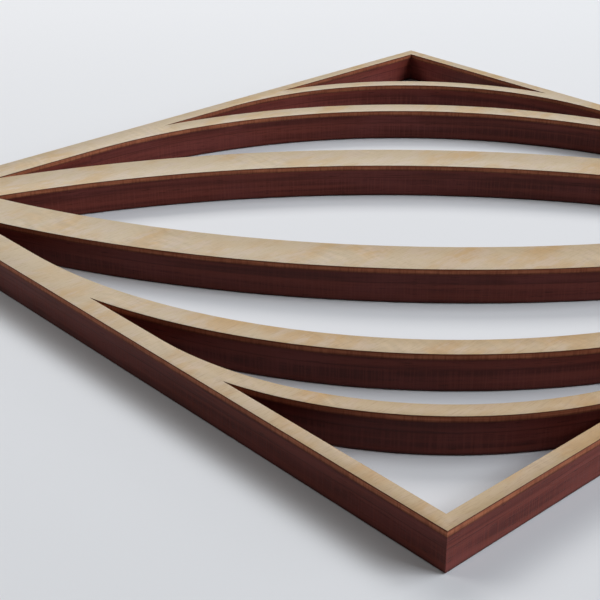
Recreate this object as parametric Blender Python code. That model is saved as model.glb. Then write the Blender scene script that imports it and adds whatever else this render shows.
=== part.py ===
"""Square lattice panel, lying on its back.

A jointed dark hardwood frame carries six curved ribs, and one light plywood face sheet covers them all. Metres,
+Z up. The origin is the centre of the back face, X runs along the eye from the left corner to the right corner,
and -Y points to the near corner.
"""

import math

import bmesh
import bpy
from mathutils import Vector

# Overall sizes
SIDE = 0.400                    # outer side of the square
BODY_HEIGHT = 0.0150            # hardwood, from the back face up
SHEET_THICKNESS = 0.0027        # plywood face
GAP = 0.0003                    # left between pieces that touch

# Rails: the inner edge steps out where each rib leaves it
RAIL_WIDTH_SIDE = 0.0160        # from a side corner to the middle rib
RAIL_WIDTH_MIDDLE = 0.0095      # from the middle rib to the narrow rib
RAIL_WIDTH_TIP = 0.0070         # from the narrow rib to the near or far corner
SHOULDER = 0.0015               # blunt end of each scarf joint

# Ribs, measured along the two diagonals
EYE_TIP_INSET = 0.0543          # outer side corner to the eye's tip
EYE_HALF_HEIGHT = 0.0545        # panel centre to the wide rib's inner edge
WIDE_RIB_WIDTH = 0.0255
MIDDLE_CROWN_INSET = 0.1338     # outer near corner to the middle rib's inner edge
MIDDLE_RIB_WIDTH = 0.0127
NARROW_CROWN_INSET = 0.0813     # outer near corner to the narrow rib's inner edge
NARROW_RIB_WIDTH = 0.0088

# Hidden joinery, at half the hardwood's height
TONGUE_INSET = 0.0170           # outer side corner to the tongue
TONGUE_EYE_WALL = 0.0055        # tongue to the eye's tip
TONGUE_WIDTH = 0.0180
TONGUE_THICKNESS = 0.0030
KEY_LEG = 0.0180                # tip corner to the end of a key's leg
KEY_WIDTH = 0.0030
KEY_THICKNESS = 0.0030
PIN_SETBACK = 0.0100            # back from the crotch between rib and rail
MIDDLE_PIN_DIAMETER = 0.0040
MIDDLE_PIN_LENGTH = 0.0120
NARROW_PIN_DIAMETER = 0.0030
NARROW_PIN_LENGTH = 0.0080
PIN_CHAMFER = 0.0004
PIN_SIDES = 16

CURVE_TOLERANCE = 0.00004       # how far a facet may leave its arc
CUTTER_MARGIN = 0.0100          # how far a cutter runs past what it cuts

DARK_WOOD = {"colour": (0.075, 0.022, 0.016, 1.0), "roughness": 0.42}
LIGHT_WOOD = {"colour": (0.520, 0.400, 0.270, 1.0), "roughness": 0.50}
JOINERY_WOOD = {"colour": (0.420, 0.270, 0.150, 1.0), "roughness": 0.60}

HALF_DIAGONAL = SIDE / math.sqrt(2)
MIDDLE_HEIGHT = BODY_HEIGHT / 2
LEFT, RIGHT = -1, 1
NEAR, FAR = -1, 1
SIDE_NAMES = {LEFT: "left", RIGHT: "right"}
END_NAMES = {NEAR: "near", FAR: "far"}


class Rib:
    """A bar of constant width on an arc whose centre lies on the Y axis, beyond the panel's centre."""

    def __init__(self, centre, inner_radius, width, half_angle):
        self.centre = centre
        self.inner_radius = inner_radius
        self.outer_radius = inner_radius + width
        self.half_angle = half_angle

    def angle_on_rail(self, rail_width):
        """Angle from the Y axis at which the outer edge crosses a rail's inner edge."""
        reach = (HALF_DIAGONAL + self.centre) / math.sqrt(2) - rail_width
        return math.pi / 4 - math.acos(reach / self.outer_radius)

    def foot(self):
        """How far along a rail, from its side corner, the arc's 45 degree radius meets it."""
        return (HALF_DIAGONAL - self.centre) / math.sqrt(2)

    def crotch(self, rail_width):
        """How far along a rail the rib's outer edge leaves it."""
        return self.foot() + self.outer_radius * math.sin(math.pi / 4 - self.angle_on_rail(rail_width))

    def arc(self, radius, half_angle, end):
        """Plan points on one edge, from the left to the right."""
        step = 2 * math.acos(1 - CURVE_TOLERANCE / radius)
        count = math.ceil(2 * half_angle / step)
        angles = [half_angle * (2 * index / count - 1) for index in range(count + 1)]
        return [(radius * math.sin(angle), end * (radius * math.cos(angle) - self.centre)) for angle in angles]


def eye_rib(width):
    """Rib whose inner edge runs from one tip of the eye to the other."""
    half_length = HALF_DIAGONAL - EYE_TIP_INSET
    inner_radius = (half_length ** 2 + EYE_HALF_HEIGHT ** 2) / (2 * EYE_HALF_HEIGHT)
    centre = inner_radius - EYE_HALF_HEIGHT
    return Rib(centre, inner_radius, width, math.acos(centre / (inner_radius + width)))


def tangent_rib(crown_inset, width, rail_width):
    """Rib whose inner edge leaves both rails tangentially, at 45 degrees."""
    centre = (crown_inset - rail_width) / (1 - math.sqrt(0.5)) - HALF_DIAGONAL
    return Rib(centre, HALF_DIAGONAL - crown_inset + centre, width, math.pi / 4)


WIDE = eye_rib(WIDE_RIB_WIDTH)
MIDDLE = tangent_rib(MIDDLE_CROWN_INSET, MIDDLE_RIB_WIDTH, RAIL_WIDTH_SIDE)
NARROW = tangent_rib(NARROW_CROWN_INSET, NARROW_RIB_WIDTH, RAIL_WIDTH_MIDDLE)
MIDDLE_SHOULDER = MIDDLE.foot() - GAP
MIDDLE_CROTCH = MIDDLE.crotch(RAIL_WIDTH_MIDDLE)
NARROW_SHOULDER = NARROW.foot() - GAP
NARROW_CROTCH = NARROW.crotch(RAIL_WIDTH_TIP)


# Plan geometry

def on_rail(along, across, side, end):
    """Plan point on a rail: along it from its side corner, and across it from its outer edge."""
    x = side * (HALF_DIAGONAL - (along + across) / math.sqrt(2))
    y = end * (along - across) / math.sqrt(2)
    return x, y


def rail_inner_edge():
    """A rail's inner edge from its side corner to its tip, with a seat for the end of each rib."""
    return [
        (RAIL_WIDTH_SIDE, RAIL_WIDTH_SIDE),
        (MIDDLE_SHOULDER, RAIL_WIDTH_SIDE),
        (MIDDLE_SHOULDER, RAIL_WIDTH_SIDE - SHOULDER),
        (MIDDLE_CROTCH, RAIL_WIDTH_MIDDLE),
        (NARROW_SHOULDER, RAIL_WIDTH_MIDDLE),
        (NARROW_SHOULDER, RAIL_WIDTH_MIDDLE - SHOULDER),
        (NARROW_CROTCH, RAIL_WIDTH_TIP),
        (SIDE - RAIL_WIDTH_TIP, RAIL_WIDTH_TIP),
    ]


def rail_outline(side, end):
    """A rail with a mitre at each end, each pulled back by half the gap."""
    pull = GAP / math.sqrt(2)
    points = [(0.0, 0.0)] + rail_inner_edge() + [(SIDE, 0.0)]
    pulled = [(along + pull, across) for along, across in points[:2]]
    pulled += points[2:-2]
    pulled += [(along - pull, across) for along, across in points[-2:]]
    return [on_rail(along, across, side, end) for along, across in pulled]


def rib_field(end):
    """The space between the two rails of one half, and the gap to them, in which its ribs lie."""
    edge = [(along, across + GAP) for along, across in rail_inner_edge()]
    edge[0] = (edge[0][1] + GAP / math.sqrt(2), edge[0][1])
    edge[-1] = (SIDE - edge[-1][1], edge[-1][1])
    left = [on_rail(along, across, LEFT, end) for along, across in edge]
    right = [on_rail(along, across, RIGHT, end) for along, across in edge[:-1]]
    return left + right[::-1]


def key_outline(end, growth):
    """A bent key that turns the mitre between the two rails at a tip corner."""
    outer = (RAIL_WIDTH_TIP - KEY_WIDTH) / 2 - growth
    inner = (RAIL_WIDTH_TIP + KEY_WIDTH) / 2 + growth
    leg = SIDE - KEY_LEG - growth
    left = [on_rail(leg, inner, LEFT, end), on_rail(leg, outer, LEFT, end)]
    right = [on_rail(leg, outer, RIGHT, end), on_rail(leg, inner, RIGHT, end)]
    return left + [on_rail(SIDE - outer, outer, LEFT, end)] + right + [on_rail(SIDE - inner, inner, LEFT, end)]


def tongue_outline(side, growth):
    """A flat tongue under the four pieces that meet at a side corner."""
    outer = HALF_DIAGONAL - TONGUE_INSET + growth
    inner = HALF_DIAGONAL - EYE_TIP_INSET + TONGUE_EYE_WALL - growth
    half = TONGUE_WIDTH / 2 + growth
    return [(side * outer, -half), (side * inner, -half), (side * inner, half), (side * outer, half)]


def sheet_openings(end):
    """The three openings of one half of the face sheet, from the wide rib to the tip corner."""
    rail_steps = [RAIL_WIDTH_SIDE, RAIL_WIDTH_MIDDLE, RAIL_WIDTH_TIP]
    openings = []
    for rib, next_rib, rail_width in zip([WIDE, MIDDLE, NARROW], [MIDDLE, NARROW, None], rail_steps):
        outline = rib.arc(rib.outer_radius, rib.angle_on_rail(rail_width), end)
        if next_rib:
            outline += next_rib.arc(next_rib.inner_radius, next_rib.half_angle, end)[::-1]
        else:
            outline.append(on_rail(SIDE - rail_width, rail_width, LEFT, end))
        openings.append(outline)
    return openings


# Meshes and objects

def material(name, wood):
    """A plain wood finish."""
    finish = bpy.data.materials.new(name)
    finish.use_nodes = True
    shader = finish.node_tree.nodes["Principled BSDF"]
    shader.inputs["Base Color"].default_value = wood["colour"]
    shader.inputs["Roughness"].default_value = wood["roughness"]
    shader.inputs["Metallic"].default_value = 0.0
    finish.diffuse_color = wood["colour"]
    return finish


def add_object(name, shape, wood=None):
    """Put a shape in the scene as a piece of wood, or as a hidden cutter."""
    bmesh.ops.recalc_face_normals(shape, faces=shape.faces)
    mesh = bpy.data.meshes.new(name)
    shape.to_mesh(mesh)
    shape.free()
    mesh.shade_smooth()
    mesh.set_sharp_from_angle(angle=math.radians(30))
    piece = bpy.data.objects.new(name, mesh)
    bpy.context.collection.objects.link(piece)
    if wood:
        mesh.materials.append(material(name, wood))
    else:
        piece.hide_render = True
        piece.display_type = "WIRE"
    return piece


def prism(outline, bottom, top):
    """A straight-sided solid over a plan outline."""
    shape = bmesh.new()
    base = shape.faces.new([shape.verts.new((x, y, bottom)) for x, y in outline])
    raise_faces(shape, [base], top - bottom)
    return shape


def raise_faces(shape, faces, height):
    """Turn flat faces into a solid of the given height."""
    raised = bmesh.ops.extrude_face_region(shape, geom=faces, use_keep_orig=True)
    vertices = [item for item in raised["geom"] if isinstance(item, bmesh.types.BMVert)]
    bmesh.ops.translate(shape, verts=vertices, vec=(0.0, 0.0, height))


def pin_shape(diameter, length):
    """A dowel pin along local Z, centred on its origin."""
    shape = bmesh.new()
    bmesh.ops.create_cone(shape, cap_ends=True, segments=PIN_SIDES, radius1=diameter / 2, radius2=diameter / 2,
                          depth=length)
    return shape


def cut(piece, cutter, operation="DIFFERENCE"):
    """Cut a piece with another solid, and leave the cut live."""
    boolean = piece.modifiers.new(f"{operation.lower()} {cutter.name}", "BOOLEAN")
    boolean.operation = operation
    boolean.object = cutter
    boolean.solver = "EXACT"


# Pieces

def make_rails():
    """Four rails, by side and end."""
    rails = {}
    for end in (NEAR, FAR):
        for side in (LEFT, RIGHT):
            name = f"rail_{END_NAMES[end]}_{SIDE_NAMES[side]}"
            rails[side, end] = add_object(name, prism(rail_outline(side, end), 0.0, BODY_HEIGHT), DARK_WOOD)
    return rails


def make_ribs():
    """Six ribs, by name and end, each trimmed to the space between its rails."""
    ribs = {}
    for end in (NEAR, FAR):
        field = add_object(f"field_{END_NAMES[end]}",
                           prism(rib_field(end), -CUTTER_MARGIN, BODY_HEIGHT + CUTTER_MARGIN))
        for label, rib in (("wide", WIDE), ("middle", MIDDLE), ("narrow", NARROW)):
            outline = rib.arc(rib.inner_radius, rib.half_angle, end)
            outline += rib.arc(rib.outer_radius, rib.half_angle, end)[::-1]
            piece = add_object(f"rib_{END_NAMES[end]}_{label}", prism(outline, 0.0, BODY_HEIGHT), DARK_WOOD)
            cut(piece, field, "INTERSECT")
            ribs[label, end] = piece
    return ribs


def make_tongues(rails, ribs):
    """A tongue in each side corner, let into two rails and two wide ribs."""
    for side in (LEFT, RIGHT):
        name = f"corner_tongue_{SIDE_NAMES[side]}"
        half = TONGUE_THICKNESS / 2
        add_object(name, prism(tongue_outline(side, 0.0), MIDDLE_HEIGHT - half, MIDDLE_HEIGHT + half), JOINERY_WOOD)
        half += GAP
        pocket = add_object(f"pocket_{SIDE_NAMES[side]}",
                            prism(tongue_outline(side, GAP), MIDDLE_HEIGHT - half, MIDDLE_HEIGHT + half))
        for end in (NEAR, FAR):
            cut(rails[side, end], pocket)
            cut(ribs["wide", end], pocket)


def make_keys(rails):
    """A bent key in each tip corner, let into two rails."""
    for end in (NEAR, FAR):
        half = KEY_THICKNESS / 2
        add_object(f"corner_key_{END_NAMES[end]}",
                   prism(key_outline(end, 0.0), MIDDLE_HEIGHT - half, MIDDLE_HEIGHT + half), JOINERY_WOOD)
        half += GAP
        pocket = add_object(f"pocket_{END_NAMES[end]}",
                            prism(key_outline(end, GAP), MIDDLE_HEIGHT - half, MIDDLE_HEIGHT + half))
        for side in (LEFT, RIGHT):
            cut(rails[side, end], pocket)


def scarf_point(shoulder, crotch, shoulder_width, crotch_width):
    """Where a pin crosses a scarf joint: along and across the rail."""
    along = crotch - PIN_SETBACK
    share = (along - shoulder) / (crotch - shoulder)
    start = shoulder_width - SHOULDER
    return along, start + share * (crotch_width - start)


def make_pins(rails, ribs):
    """A pin across each scarf joint, square to the rail."""
    kinds = {
        "middle": (scarf_point(MIDDLE_SHOULDER, MIDDLE_CROTCH, RAIL_WIDTH_SIDE, RAIL_WIDTH_MIDDLE),
                   MIDDLE_PIN_DIAMETER, MIDDLE_PIN_LENGTH),
        "narrow": (scarf_point(NARROW_SHOULDER, NARROW_CROTCH, RAIL_WIDTH_MIDDLE, RAIL_WIDTH_TIP),
                   NARROW_PIN_DIAMETER, NARROW_PIN_LENGTH),
    }
    for label, ((along, across), diameter, length) in kinds.items():
        for (side, end), rail in rails.items():
            place = f"{END_NAMES[end]}_{label}_{SIDE_NAMES[side]}"
            x, y = on_rail(along, across, side, end)
            turn = Vector((-side, -end, 0.0)).to_track_quat("Z", "X").to_euler()
            pin = add_object(f"pin_{place}", pin_shape(diameter, length), JOINERY_WOOD)
            chamfer = pin.modifiers.new("chamfer", "BEVEL")
            chamfer.width = PIN_CHAMFER
            chamfer.segments = 1
            chamfer.limit_method = "ANGLE"
            hole = add_object(f"hole_{place}", pin_shape(diameter + 2 * GAP, length + 2 * GAP))
            for piece in (pin, hole):
                piece.location = (x, y, MIDDLE_HEIGHT)
                piece.rotation_euler = turn
            cut(rail, hole)
            cut(ribs[label, end], hole)


def make_face_sheet():
    """One sheet over every rail and rib, with seven openings."""
    eye_angle = math.acos(WIDE.centre / WIDE.inner_radius)
    eye = WIDE.arc(WIDE.inner_radius, eye_angle, NEAR) + WIDE.arc(WIDE.inner_radius, eye_angle, FAR)[-2:0:-1]
    square = [(-HALF_DIAGONAL, 0.0), (0.0, -HALF_DIAGONAL), (HALF_DIAGONAL, 0.0), (0.0, HALF_DIAGONAL)]
    shape = bmesh.new()
    for outline in [square, eye] + sheet_openings(NEAR) + sheet_openings(FAR):
        loop = [shape.verts.new((x, y, BODY_HEIGHT + GAP)) for x, y in outline]
        for start, finish in zip(loop, loop[1:] + loop[:1]):
            shape.edges.new((start, finish))
    bmesh.ops.triangle_fill(shape, use_beauty=True, edges=shape.edges[:])
    raise_faces(shape, shape.faces[:], SHEET_THICKNESS)
    add_object("face_sheet", shape, LIGHT_WOOD)


def main():
    for existing in list(bpy.data.objects):
        bpy.data.objects.remove(existing)
    rails = make_rails()
    ribs = make_ribs()
    make_tongues(rails, ribs)
    make_keys(rails)
    make_pins(rails, ribs)
    make_face_sheet()


main()
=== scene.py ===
import math

import bmesh
import bpy
from mathutils import Matrix, Vector


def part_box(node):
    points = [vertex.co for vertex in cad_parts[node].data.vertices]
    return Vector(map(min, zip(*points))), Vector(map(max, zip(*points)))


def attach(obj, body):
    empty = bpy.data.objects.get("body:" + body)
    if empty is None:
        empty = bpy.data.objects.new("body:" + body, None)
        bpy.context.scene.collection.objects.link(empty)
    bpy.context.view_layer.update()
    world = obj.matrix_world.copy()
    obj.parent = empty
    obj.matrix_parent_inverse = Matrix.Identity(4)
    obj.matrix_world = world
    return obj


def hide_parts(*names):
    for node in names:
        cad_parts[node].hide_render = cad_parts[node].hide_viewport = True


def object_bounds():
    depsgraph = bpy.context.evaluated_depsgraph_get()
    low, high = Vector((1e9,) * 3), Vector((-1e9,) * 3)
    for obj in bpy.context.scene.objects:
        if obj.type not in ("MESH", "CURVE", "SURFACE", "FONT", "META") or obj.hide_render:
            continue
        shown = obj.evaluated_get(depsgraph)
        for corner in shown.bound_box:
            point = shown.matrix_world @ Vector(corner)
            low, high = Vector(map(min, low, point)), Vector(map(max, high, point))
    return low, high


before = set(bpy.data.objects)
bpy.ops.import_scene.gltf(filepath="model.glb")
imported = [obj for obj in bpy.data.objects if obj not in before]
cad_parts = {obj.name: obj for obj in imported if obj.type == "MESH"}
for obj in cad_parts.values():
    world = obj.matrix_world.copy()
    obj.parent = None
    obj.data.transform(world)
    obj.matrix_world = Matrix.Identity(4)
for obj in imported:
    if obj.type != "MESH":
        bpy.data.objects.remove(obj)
cadLow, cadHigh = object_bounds()

# The panel's plan, in metres: what the frame fixes comes from it, the rest is the drawing's own
halfDiagonal = cadHigh[0]
side = halfDiagonal * math.sqrt(2)
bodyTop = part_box("rail_near_left")[1].z
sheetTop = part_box("face_sheet")[1].z
railWidths = dict(sideCorner=0.0160, middle=0.0095, tip=0.0070)
shoulder = 0.0015     # blunt end of a scarf joint
glueLine = 0.00006    # what shows of a closed joint
tipSlack = 0.0004     # radians that a middle or narrow rib stops short of the crotch
wideSlack = 0.0001    # radians that a wide rib's inner arc stops short of the eye's tip
curveTolerance = 0.000008
sharpAngle = 30       # degrees
left, right = -1, 1
near, far = -1, 1
sideNames = {left: "left", right: "right"}
endNames = {near: "near", far: "far"}


class RibLine:    # a bar on an arc whose centre lies on the Y axis, past the panel's centre
    def __init__(self, centre, innerRadius, width, halfAngle):
        self.centre = centre
        self.innerRadius = innerRadius
        self.outerRadius = innerRadius + width
        self.halfAngle = halfAngle

    def angleOnRail(self, railWidth):    # where the outer edge crosses a rail's inner edge
        reach = (halfDiagonal + self.centre) / math.sqrt(2) - railWidth
        return math.pi / 4 - math.acos(reach / self.outerRadius)

    def foot(self):    # how far along a rail the 45 degree radius lands
        return (halfDiagonal - self.centre) / math.sqrt(2)

    def crotch(self, railWidth):
        return self.foot() + self.outerRadius * math.sin(math.pi / 4 - self.angleOnRail(railWidth))

    def point(self, radius, angle, end):
        return radius * math.sin(angle), end * (radius * math.cos(angle) - self.centre)

    def arc(self, radius, start, stop, end):
        largestStep = 2 * math.acos(1 - curveTolerance / radius)
        count = max(2, math.ceil(abs(stop - start) / largestStep))
        step = (stop - start) / count
        return [self.point(radius, start + step * index, end) for index in range(count + 1)]


def wideLine(width=0.0255, eyeHalfHeight=0.0545, eyeTipInset=0.0543):
    halfLength = halfDiagonal - eyeTipInset
    innerRadius = (halfLength ** 2 + eyeHalfHeight ** 2) / (2 * eyeHalfHeight)
    centre = innerRadius - eyeHalfHeight
    return RibLine(centre, innerRadius, width, math.acos(centre / innerRadius))


def tangentLine(crownInset, width, railWidth):    # leaves both rails' inner edges tangentially
    centre = (crownInset - railWidth) / (1 - math.sqrt(0.5)) - halfDiagonal
    return RibLine(centre, halfDiagonal - crownInset + centre, width, math.pi / 4)


wide = wideLine()
middle = tangentLine(0.1338, 0.0127, railWidths["sideCorner"])
narrow = tangentLine(0.0813, 0.0088, railWidths["middle"])
middleShoulder, middleCrotch = middle.foot(), middle.crotch(railWidths["middle"])
narrowShoulder, narrowCrotch = narrow.foot(), narrow.crotch(railWidths["tip"])


def onRail(along, across, hand, end):    # along a rail from its side corner, across from its outer edge
    x = hand * (halfDiagonal - (along + across) / math.sqrt(2))
    return x, end * (along - across) / math.sqrt(2)


# Shader maths

class Signal:    # a value on its way through a material
    def __init__(self, finish, socket):
        self.finish = finish
        self.socket = socket

    def __add__(self, other):
        return self.finish.math("ADD", self, other)

    def __radd__(self, other):
        return self.finish.math("ADD", other, self)

    def __sub__(self, other):
        return self.finish.math("SUBTRACT", self, other)

    def __rsub__(self, other):
        return self.finish.math("SUBTRACT", other, self)

    def __mul__(self, other):
        return self.finish.math("MULTIPLY", self, other)

    def __rmul__(self, other):
        return self.finish.math("MULTIPLY", other, self)

    def __pow__(self, other):
        return self.finish.math("POWER", self, other)


class Finish:    # one material and the calls that fill it
    def __init__(self, name):
        self.material = bpy.data.materials.new(name)
        self.material.use_nodes = True
        self.tree = self.material.node_tree
        self.shader = self.tree.nodes["Principled BSDF"]

    def add(self, kind, settings=None, sockets=None, output=0):
        node = self.tree.nodes.new(kind)
        for name, value in (settings or {}).items():
            setattr(node, name, value)
        for name, value in (sockets or {}).items():
            self.feed(node.inputs[name], value)
        return Signal(self, node.outputs[output])

    def feed(self, target, value):
        if isinstance(value, Signal):
            self.tree.links.new(value.socket, target)
        else:
            target.default_value = value

    def set(self, **values):    # the shader's own sockets, with spaces as underscores
        for name, value in values.items():
            self.feed(self.shader.inputs[name.replace("_", " ")], value)

    def math(self, operation, first, second):
        return self.add("ShaderNodeMath", dict(operation=operation), {0: first, 1: second})

    def place(self):    # x, y and z of the surface, in metres
        sockets = {0: self.add("ShaderNodeTexCoord", output=3)}
        return [self.add("ShaderNodeSeparateXYZ", sockets=sockets, output=axis) for axis in range(3)]

    def point(self, x, y, z):
        return self.add("ShaderNodeCombineXYZ", sockets={0: x, 1: y, 2: z})

    def noise(self, vector, detail=3, roughness=0.5):    # the vector carries the scale
        sockets = {"Vector": vector, "Scale": 1.0, "Detail": detail, "Roughness": roughness}
        return self.add("ShaderNodeTexNoise", sockets=sockets)

    def remap(self, value, low, high, toLow=0.0, toHigh=1.0):
        sockets = {0: value, 1: low, 2: high, 3: toLow, 4: toHigh}
        return self.add("ShaderNodeMapRange", dict(interpolation_type="SMOOTHSTEP"), sockets)

    def mix(self, factor, first, second, kind="MIX"):    # of two colours
        first, second = ((*value, 1) if isinstance(value, tuple) else value for value in (first, second))
        sockets = {0: factor, 6: first, 7: second}
        return self.add("ShaderNodeMix", dict(data_type="RGBA", blend_type=kind), sockets, output=2)

    def bump(self, height, strength, distance):
        sockets = {"Height": height, "Strength": strength, "Distance": distance}
        return self.add("ShaderNodeBump", sockets=sockets)


# Finishes

faceWood = dict(pale=(0.602, 0.475, 0.314), warm=(0.590, 0.400, 0.202), pink=(0.605, 0.480, 0.365),
                dark=(0.400, 0.268, 0.145), honey=(0.900, 0.800, 0.665), honeyFrom=-0.10, honeyTo=0.24,
                pinkShare=0.65, fibreShare=0.42, fleckShare=0.30, curlDepth=0.34, cloudDepth=0.10,
                roughness=0.46, gloss=0.45, relief=0.25, seed=12.1)


def makeFaceFinish():
    finish = Finish("pale_face_veneer")
    x, y, z = finish.place()
    along = (x + y) * math.sqrt(0.5)
    across = (y - x) * math.sqrt(0.5)
    wander = finish.noise(finish.point(along * 9, across * 14, z), detail=2) - 0.5
    across = across + wander * 0.012
    height = z + faceWood["seed"]
    broad = finish.noise(finish.point(along * 24, across * 44, height), detail=3)
    cloud = finish.noise(finish.point(along * 60, across * 140, height), detail=4, roughness=0.6)
    fibre = finish.noise(finish.point(along * 110, across * 1400, z), detail=3, roughness=0.65)
    fleck = finish.noise(finish.point(along * 260, across * 2600, z), detail=1)
    curl = finish.noise(finish.point(along * 330 + wander * 14, across * 60, z), detail=2, roughness=0.4)
    curlPlaces = finish.noise(finish.point(along * 22, across * 30, z + 3.1), detail=1)
    curlMask = finish.remap(curlPlaces, 0.42, 0.62)
    colour = finish.mix(finish.remap(broad, 0.44, 0.64), faceWood["pale"], faceWood["warm"])
    colour = finish.mix(finish.remap(cloud, 0.46, 0.62) * faceWood["pinkShare"], colour, faceWood["pink"])
    fibres = finish.remap(fibre, 0.50, 0.72) * faceWood["fibreShare"]
    flecks = finish.remap(fleck, 0.58, 0.70) * faceWood["fleckShare"]
    colour = finish.mix(fibres + flecks, colour, faceWood["dark"])
    # darker and more golden towards the near right
    towardsNearRight = x * 0.55 - y * 0.8 + wander * 0.1
    honeyed = finish.remap(towardsNearRight, faceWood["honeyFrom"], faceWood["honeyTo"])
    colour = finish.mix(honeyed, colour, faceWood["honey"], "MULTIPLY")
    shade = 0.94 + (curl - 0.5) * curlMask * faceWood["curlDepth"] + (cloud - 0.5) * faceWood["cloudDepth"]
    shade = finish.point(shade, shade, shade)
    colour = finish.mix(1.0, colour, shade, "MULTIPLY")
    finish.set(Base_Color=colour, Roughness=faceWood["roughness"] + (fibre - 0.5) * 0.16)
    finish.set(Specular_IOR_Level=faceWood["gloss"])
    finish.set(Normal=finish.bump(fibre + fleck * 0.4, faceWood["relief"], 0.00006))
    return finish.material


edgeWood = dict(brown=(0.330, 0.100, 0.046), light=(0.440, 0.152, 0.072), char=(0.165, 0.043, 0.022),
                scorch=(0.058, 0.015, 0.009), lineDepth=0.00050, lineShare=0.82, fadeFrom=0.0017,
                fadeShare=0.8, tickShare=0.45, patchShare=0.35, roughness=0.60, gloss=0.15, relief=0.4)


def makeEdgeFinish():
    finish = Finish("scorched_sheet_edge")
    x, y, z = finish.place()
    ticks = finish.noise(finish.point(x * 900, y * 900, z * 22), detail=2, roughness=0.65)
    bands = finish.noise(finish.point(x * 60, y * 60, z * 1400), detail=3, roughness=0.55)
    slow = finish.noise(finish.point(x * 28, y * 28, z * 40), detail=2)
    depth = sheetTop - z + (slow - 0.5) * 0.0004 + (ticks - 0.5) * 0.0003
    colour = finish.mix(finish.remap(bands, 0.38, 0.66), edgeWood["brown"], edgeWood["light"])
    colour = finish.mix(finish.remap(ticks, 0.44, 0.66) * edgeWood["tickShare"], colour, edgeWood["char"])
    colour = finish.mix(finish.remap(slow, 0.42, 0.66) * edgeWood["patchShare"], colour, edgeWood["char"])
    lineStart, lineStop = edgeWood["lineDepth"] * 0.4, edgeWood["lineDepth"] * 1.6
    topLine = finish.remap(depth, lineStart, lineStop, edgeWood["lineShare"], 0.0)
    lowerFade = finish.remap(depth, edgeWood["fadeFrom"], sheetTop - bodyTop, 0.0, edgeWood["fadeShare"])
    colour = finish.mix(finish.math("MAXIMUM", topLine, lowerFade), colour, edgeWood["scorch"])
    finish.set(Base_Color=colour, Roughness=edgeWood["roughness"] + (ticks - 0.5) * 0.2)
    finish.set(Specular_IOR_Level=edgeWood["gloss"])
    finish.set(Normal=finish.bump(ticks + bands * 0.4, edgeWood["relief"], 0.0001))
    return finish.material


darkWood = dict(red=(0.140, 0.029, 0.019), deep=(0.070, 0.0135, 0.010), plum=(0.135, 0.031, 0.026),
                pore=(0.034, 0.008, 0.005), scored=(0.190, 0.047, 0.035), roughness=0.40, gloss=0.15,
                scoreTop=0.0104, scoreLine=0.00022, darkFootHeight=0.0018, plumShare=0.7, streakShare=0.55,
                poreShare=0.65, markShare=0.25, ledgeShare=0.45, footShare=0.85, relief=0.35)


# scales a colour by a board's painted-light factor
def paintedLightScaled(colour, paintedLightScale):
    return tuple(channel * paintedLightScale for channel in colour)


def makeDarkFinish(finish, along, across, z, paintedLightScale):
    # grain runs along the bar; fine upright score marks show below a faint line two thirds of the way up
    wander = finish.noise(finish.point(along * 7, across * 30, z * 30), detail=2) - 0.5
    grainZ = z + wander * 0.004
    grainAcross = across + wander * 0.004
    figure = finish.noise(finish.point(along * 5, grainAcross * 170, grainZ * 240), 4, 0.55)
    streak = finish.noise(finish.point(along * 16, grainAcross * 700, grainZ * 900), 3, 0.6)
    pore = finish.noise(finish.point(along * 120, grainAcross * 2600, grainZ * 2600), detail=2)
    patch = finish.noise(finish.point(along * 22, across * 30, z * 60), detail=2)
    # painted light: the wood's colours are scaled up on boards that catch more light
    red, deep, plum, scored = (paintedLightScaled(darkWood[name], paintedLightScale) for name in ("red", "deep", "plum", "scored"))
    colour = finish.mix(finish.remap(figure, 0.36, 0.66), red, deep)
    colour = finish.mix(finish.remap(patch, 0.42, 0.68) * darkWood["plumShare"], colour, plum)
    colour = finish.mix(finish.remap(streak, 0.50, 0.72) * darkWood["streakShare"], colour, deep)
    pores = finish.remap(pore, 0.60, 0.70)
    colour = finish.mix(pores * darkWood["poreShare"], colour, darkWood["pore"])
    score = finish.noise(finish.point(along * 950, across * 4, z * 22), detail=2, roughness=0.65)
    lineHeight = z + wander * 0.0016 - darkWood["scoreTop"]
    marks = finish.remap(score, 0.44, 0.64) * finish.remap(lineHeight, -0.0012, 0.0, 1.0, 0.4)
    colour = finish.mix(marks * darkWood["markShare"], colour, scored)
    ledge = finish.remap(finish.math("ABSOLUTE", lineHeight, 0), 0.0, darkWood["scoreLine"] * 2, 1.0, 0.0)
    ledge = ledge * finish.remap(patch, 0.38, 0.5, 0.25, 1.0)
    colour = finish.mix(ledge * darkWood["ledgeShare"], colour, darkWood["pore"])
    # darker along the bottom 1.8 mm of the bar
    footLine = finish.remap(z + wander * 0.0006, 0.0, darkWood["darkFootHeight"], darkWood["footShare"], 0.0)
    colour = finish.mix(footLine, colour, darkWood["pore"])
    finish.set(Base_Color=colour, Specular_IOR_Level=darkWood["gloss"])
    finish.set(Roughness=darkWood["roughness"] + (streak - 0.5) * 0.25 + marks * 0.1)
    height = streak * 0.6 + marks * 0.45 - pores * 0.8 - ledge * 0.8
    finish.set(Normal=finish.bump(height, darkWood["relief"], 0.00012))
    return finish.material


# painted light: lighter copies of the dark wood for six boards that catch more light; 1 keeps the wood's
# own colour
paintedLightTones = {"rail_near_right": 1.35, "rail_far_left": 1.30, "rail_far_right": 1.40, "rib_far_wide": 1.10,
              "rib_far_middle": 1.15, "rib_far_narrow": 1.38}


def makeRailFinish(hand, end):
    name = f"rail_{endNames[end]}_{sideNames[hand]}"
    finish = Finish("dark_" + name)
    x, y, z = finish.place()
    along = (x * -hand + y * end) * math.sqrt(0.5) + hand * 1.7 + end * 3.1
    across = (x * -hand - y * end) * math.sqrt(0.5)
    return makeDarkFinish(finish, along, across, z, paintedLightTones.get(name, 1.0))


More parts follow.
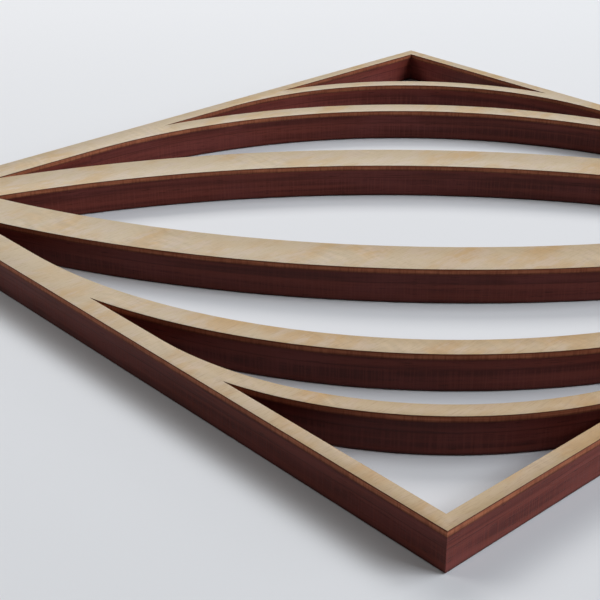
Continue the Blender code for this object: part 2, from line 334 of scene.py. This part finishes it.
def makeRibFinish(label, line, end):
    name = f"rib_{endNames[end]}_{label}"
    finish = Finish("dark_" + name)
    x, y, z = finish.place()
    reach = y * end + line.centre
    radius = (x * x + reach * reach) ** 0.5
    along = finish.math("ARCTAN2", x, reach) * line.innerRadius + line.innerRadius * 9 + end * 2.3
    return makeDarkFinish(finish, along, radius, z, paintedLightTones.get(name, 1.0))


joineryWood = dict(pale=(0.50, 0.34, 0.20), dark=(0.36, 0.22, 0.12), roughness=0.6)


def makeJoineryFinish():
    finish = Finish("plain_beech")
    x, y, z = finish.place()
    grain = finish.noise(finish.point(x * 60, y * 600, z * 900), detail=3)
    colour = finish.mix(finish.remap(grain, 0.35, 0.7), joineryWood["pale"], joineryWood["dark"])
    finish.set(Base_Color=colour, Roughness=joineryWood["roughness"] + (grain - 0.5) * 0.2)
    finish.set(Normal=finish.bump(grain, 0.3, 0.0001))
    return finish.material


# Shapes

def barSolid(name, outline, exposed, bottom, top, easing, finish):
    # a straight-sided bar over a plan outline; the lower arris is eased along the exposed edges
    shape = bmesh.new()
    base = [shape.verts.new((x, y, bottom)) for x, y in outline]
    face = shape.faces.new(base)
    lower = [shape.edges.get((first, second)) for first, second in zip(base, base[1:] + base[:1])]
    raised = bmesh.ops.extrude_face_region(shape, geom=[face], use_keep_orig=True)
    lifted = [item for item in raised["geom"] if isinstance(item, bmesh.types.BMVert)]
    bmesh.ops.translate(shape, verts=lifted, vec=(0, 0, top - bottom))
    bmesh.ops.recalc_face_normals(shape, faces=shape.faces)
    eased = [edge for edge, shown in zip(lower, exposed) if shown]
    bmesh.ops.bevel(shape, geom=eased, offset=easing, segments=3, profile=0.5, affect="EDGES",
                    clamp_overlap=True)
    bar = meshObject(name, shape, [finish])
    letInJoinery(bar)
    return bar


def meshObject(name, shape, finishes):
    mesh = bpy.data.meshes.new(name)
    shape.to_mesh(mesh)
    shape.free()
    mesh.shade_smooth()
    mesh.set_sharp_from_angle(angle=math.radians(sharpAngle))
    for finish in finishes:
        mesh.materials.append(finish)
    piece = bpy.data.objects.new(name, mesh)
    bpy.context.collection.objects.link(piece)
    return piece


def adopt(piece, node):    # the piece stands for a frame node and rides with its body
    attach(piece, "root")
    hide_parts(node)


letInClearance = 0.0001
joinery = {name: node for name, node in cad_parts.items() if name.startswith(("corner_", "pin_"))}


def letIn(bar, node):    # the slot or bore for a key, tongue or pin that reaches into the bar
    shape = bmesh.new()
    shape.from_mesh(node.data)
    bmesh.ops.remove_doubles(shape, verts=shape.verts, dist=1e-6)
    shape.normal_update()
    for vertex in shape.verts:
        vertex.co += vertex.normal * letInClearance
    cutter = meshObject("cutter", shape, [])
    slot = bar.modifiers.new("slot", "BOOLEAN")
    slot.operation = "DIFFERENCE"
    slot.solver = "EXACT"
    slot.object = cutter
    mesh = bpy.data.meshes.new_from_object(bar.evaluated_get(bpy.context.evaluated_depsgraph_get()))
    bar.modifiers.clear()
    bar.data = mesh
    bpy.data.objects.remove(cutter)
    mesh.shade_smooth()
    mesh.set_sharp_from_angle(angle=math.radians(sharpAngle))


def letInJoinery(bar):
    low = [min(corner[axis] for corner in bar.bound_box) for axis in range(2)]
    high = [max(corner[axis] for corner in bar.bound_box) for axis in range(2)]
    for name, node in joinery.items():
        nodeLow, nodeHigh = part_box(name)
        if all(nodeLow[axis] < high[axis] and nodeHigh[axis] > low[axis] for axis in range(2)):
            letIn(bar, node)


bodyEasing = 0.00045


def makeRails():
    half = glueLine / math.sqrt(2) / 2
    for end in (near, far):
        for hand in (left, right):
            edge = [
                (railWidths["sideCorner"] + half, railWidths["sideCorner"], True),
                (middleShoulder - glueLine, railWidths["sideCorner"], False),
                (middleShoulder - glueLine, railWidths["sideCorner"] - shoulder, False),
                (middleCrotch, railWidths["middle"], True),
                (narrowShoulder - glueLine, railWidths["middle"], False),
                (narrowShoulder - glueLine, railWidths["middle"] - shoulder, False),
                (narrowCrotch, railWidths["tip"], True),
                (side - railWidths["tip"] - half, railWidths["tip"], False),
                (side - half, 0.0, True),
                (half, 0.0, False),
            ]
            outline = [onRail(along, across, hand, end) for along, across, shown in edge]
            name = f"rail_{endNames[end]}_{sideNames[hand]}"
            exposed = [shown for *place, shown in edge]
            finish = makeRailFinish(hand, end)
            adopt(barSolid(name + "_bar", outline, exposed, 0.0, bodyTop, bodyEasing, finish), name)


def scarfPoint(line, radiusLimit, start, finish, angle):
    # how far out a ray from the rib's centre meets the scarf line between two rail points
    ax, ay = onRail(*start, right, far)
    bx, by = onRail(*finish, right, far)
    dx, dy = math.sin(angle), math.cos(angle)
    ay, by = ay + line.centre, by + line.centre
    cross = (bx - ax) * dy - (by - ay) * dx
    share = (ay * dx - ax * dy) / cross
    x, y = ax + share * (bx - ax), ay + share * (by - ay)
    return min(radiusLimit, math.hypot(x, y))


def makeRib(label, line, end, outer, inner, tips):
    outline = outer + [tips[0]] + inner + [tips[1]]
    exposed = [True] * (len(outer) - 1) + [False, False] + [True] * (len(inner) - 1) + [False, False]
    name = f"rib_{endNames[end]}_{label}"
    finish = makeRibFinish(label, line, end)
    adopt(barSolid(name + "_bar", outline, exposed, 0.0, bodyTop, bodyEasing, finish), name)


def makeScarfedRib(label, line, end, start, finish, railWidth):    # its scarf runs between two rail points
    reach = scarfPoint(line, line.outerRadius, start, finish, line.halfAngle - 1e-6) - glueLine
    crotchAngle = line.angleOnRail(railWidth) - tipSlack
    outer = line.arc(line.outerRadius, -crotchAngle, crotchAngle, end)
    inner = line.arc(line.innerRadius, line.halfAngle, -line.halfAngle, end)
    tips = [line.point(reach, angle, end) for angle in (line.halfAngle, -line.halfAngle)]
    makeRib(label, line, end, outer, inner, tips)


def makeWideRib(end):    # runs into both side corners
    edgeWidth = railWidths["sideCorner"] + glueLine
    crotchAngle = wide.angleOnRail(edgeWidth)
    outer = wide.arc(wide.outerRadius, -crotchAngle, crotchAngle, end)
    inner = wide.arc(wide.innerRadius, wide.halfAngle - wideSlack, wideSlack - wide.halfAngle, end)
    corner = halfDiagonal - edgeWidth * math.sqrt(2)
    lift = end * glueLine / 2
    makeRib("wide", wide, end, outer, inner, [(corner, lift), (-corner, lift)])


def makeRibs():
    for end in (near, far):
        makeScarfedRib("middle", middle, end, (middleShoulder, railWidths["sideCorner"] - shoulder),
                       (middleCrotch, railWidths["middle"]), railWidths["middle"])
        makeScarfedRib("narrow", narrow, end, (narrowShoulder, railWidths["middle"] - shoulder),
                       (narrowCrotch, railWidths["tip"]), railWidths["tip"])
        makeWideRib(end)


sheetEasing = 0.00018


def makeFaceSheet():
    def opening(line, nextLine, railWidth, end):
        angle = line.angleOnRail(railWidth)
        outline = line.arc(line.outerRadius, -angle, angle, end)
        if nextLine:
            turn = nextLine.halfAngle
            return outline + nextLine.arc(nextLine.innerRadius, turn, -turn, end)
        return outline + [onRail(side - railWidth, railWidth, left, end)]

    eye = wide.arc(wide.innerRadius, -wide.halfAngle, wide.halfAngle, near)
    eye += wide.arc(wide.innerRadius, wide.halfAngle, -wide.halfAngle, far)[1:-1]
    square = [(-halfDiagonal, 0), (0, -halfDiagonal), (halfDiagonal, 0), (0, halfDiagonal)]
    outlines = [square, eye]
    for end in (near, far):
        outlines.append(opening(wide, middle, railWidths["sideCorner"], end))
        outlines.append(opening(middle, narrow, railWidths["middle"], end))
        outlines.append(opening(narrow, None, railWidths["tip"], end))
    shape = bmesh.new()
    for outline in outlines:
        loop = [shape.verts.new((x, y, bodyTop + glueLine)) for x, y in outline]
        for first, second in zip(loop, loop[1:] + loop[:1]):
            shape.edges.new((first, second))
    bmesh.ops.triangle_fill(shape, use_beauty=True, edges=shape.edges[:])
    flat = shape.faces[:]
    raised = bmesh.ops.extrude_face_region(shape, geom=flat, use_keep_orig=True)
    lifted = [item for item in raised["geom"] if isinstance(item, bmesh.types.BMVert)]
    bmesh.ops.translate(shape, verts=lifted, vec=(0, 0, sheetTop - bodyTop - glueLine))
    bmesh.ops.recalc_face_normals(shape, faces=shape.faces)
    middleHeight = (bodyTop + sheetTop) / 2
    arris = [edge for edge in shape.edges if edge.is_manifold and edge.calc_face_angle() > math.radians(60)
             and min(vertex.co.z for vertex in edge.verts) > middleHeight]
    bmesh.ops.bevel(shape, geom=arris, offset=sheetEasing, segments=2, profile=0.5, affect="EDGES",
                    clamp_overlap=True)
    shape.normal_update()
    for face in shape.faces:
        face.material_index = 0 if face.normal.z > 0.8 else 1
    piece = meshObject("face_sheet_ply", shape, [makeFaceFinish(), makeEdgeFinish()])
    adopt(piece, "face_sheet")


def finishJoinery():
    beech = makeJoineryFinish()
    for node in joinery.values():
        node.data.materials.clear()
        node.data.materials.append(beech)


# Studio

# painted light: the floor glows faintly from 1.6 m outwards, which keeps it pale where the lamps don't
# reach
floorPaint = dict(colour=(0.79, 0.79, 0.80), across=60.0, drop=0.0002, roughness=0.8, gloss=0.1,
                  paintedGlow=(0.56, 0.57, 0.59), paintedGlowFrom=1.6, paintedGlowTo=7.0)


def makeFloor():
    bpy.ops.mesh.primitive_plane_add(size=floorPaint["across"], location=(0, 0, -floorPaint["drop"]))
    floor = bpy.context.object
    floor.name = "studio_floor"
    finish = Finish("pale_floor")
    finish.set(Base_Color=(*floorPaint["colour"], 1), Roughness=floorPaint["roughness"])
    finish.set(Specular_IOR_Level=floorPaint["gloss"])
    x, y, z = finish.place()
    # painted light: the floor's glow rises from nothing at 1.6 m to full at 7 m from the centre
    paintedGlow = finish.remap((x * x + y * y) ** 0.5, floorPaint["paintedGlowFrom"], floorPaint["paintedGlowTo"])
    glow = finish.mix(paintedGlow, (0.0, 0.0, 0.0), floorPaint["paintedGlow"])
    finish.set(Emission_Color=glow, Emission_Strength=1.0)
    floor.data.materials.append(finish.material)


def addLight(name, place, target, size, power, colour):
    data = bpy.data.lights.new(name, "AREA")
    data.shape = "RECTANGLE"
    data.size, data.size_y = size
    data.energy = power
    data.color = colour
    light = bpy.data.objects.new(name, data)
    bpy.context.collection.objects.link(light)
    light.location = place
    light.rotation_euler = (Vector(target) - Vector(place)).to_track_quat("-Z", "Y").to_euler()


studio = dict(
    windowRight=dict(turn=-13, lift=35, away=6.0, size=(2.8, 1.3), power=152, colour=(0.88, 0.935, 1.0)),
    windowLow=dict(turn=-6, lift=15, away=6.0, size=(2.8, 0.8), power=44, colour=(0.90, 0.94, 1.0)),
    windowBeyond=dict(turn=14, lift=43, away=6.0, size=(2.8, 1.8), power=127, colour=(0.90, 0.945, 1.0)),
    panelBack=dict(turn=98, lift=44, away=2.2, size=(2.2, 0.8), power=25.5, colour=(1.0, 0.99, 0.98)),
    fillLeft=dict(turn=172, lift=36, away=2.2, size=(1.0, 0.6), power=9.5, colour=(1.0, 0.985, 0.965)),
)
roomLight = dict(colour=(0.90, 0.95, 1.0), strength=0.045)


def makeStudio():
    makeFloor()
    for name, light in studio.items():    # turned from the right towards the back, lifted off the floor
        turn, lift = math.radians(light["turn"]), math.radians(light["lift"])
        reach = light["away"] * math.cos(lift)
        place = (reach * math.cos(turn), reach * math.sin(turn), light["away"] * math.sin(lift))
        addLight(name, place, (0, 0, 0), light["size"], light["power"], light["colour"])
    world = bpy.data.worlds.new("studio")
    bpy.context.scene.world = world
    world.use_nodes = True
    background = world.node_tree.nodes["Background"]
    background.inputs["Color"].default_value = (*roomLight["colour"], 1)
    background.inputs["Strength"].default_value = roomLight["strength"]
    bpy.context.scene.view_settings.view_transform = "Standard"


view = dict(place=(-0.02869, -0.64355, 0.28685), heading=3.205, tilt=26.906, roll=-0.339, lens=79.3)


def makeCamera():
    data = bpy.data.cameras.new("camera")
    data.lens = view["lens"]
    data.sensor_width = 36
    data.clip_start = 0.01
    camera = bpy.data.objects.new("camera", data)
    bpy.context.collection.objects.link(camera)
    turn = Matrix.Rotation(math.radians(view["heading"]), 4, "Z")
    turn = turn @ Matrix.Rotation(math.radians(90 - view["tilt"]), 4, "X")
    turn = turn @ Matrix.Rotation(math.radians(view["roll"]), 4, "Z")
    camera.matrix_world = Matrix.Translation(view["place"]) @ turn
    bpy.context.scene.camera = camera


makeCamera()
print("camera set")
makeRails()
print("rails made")
makeRibs()
print("ribs made")
makeFaceSheet()
print("face sheet made")
finishJoinery()
makeStudio()
print("studio lit")
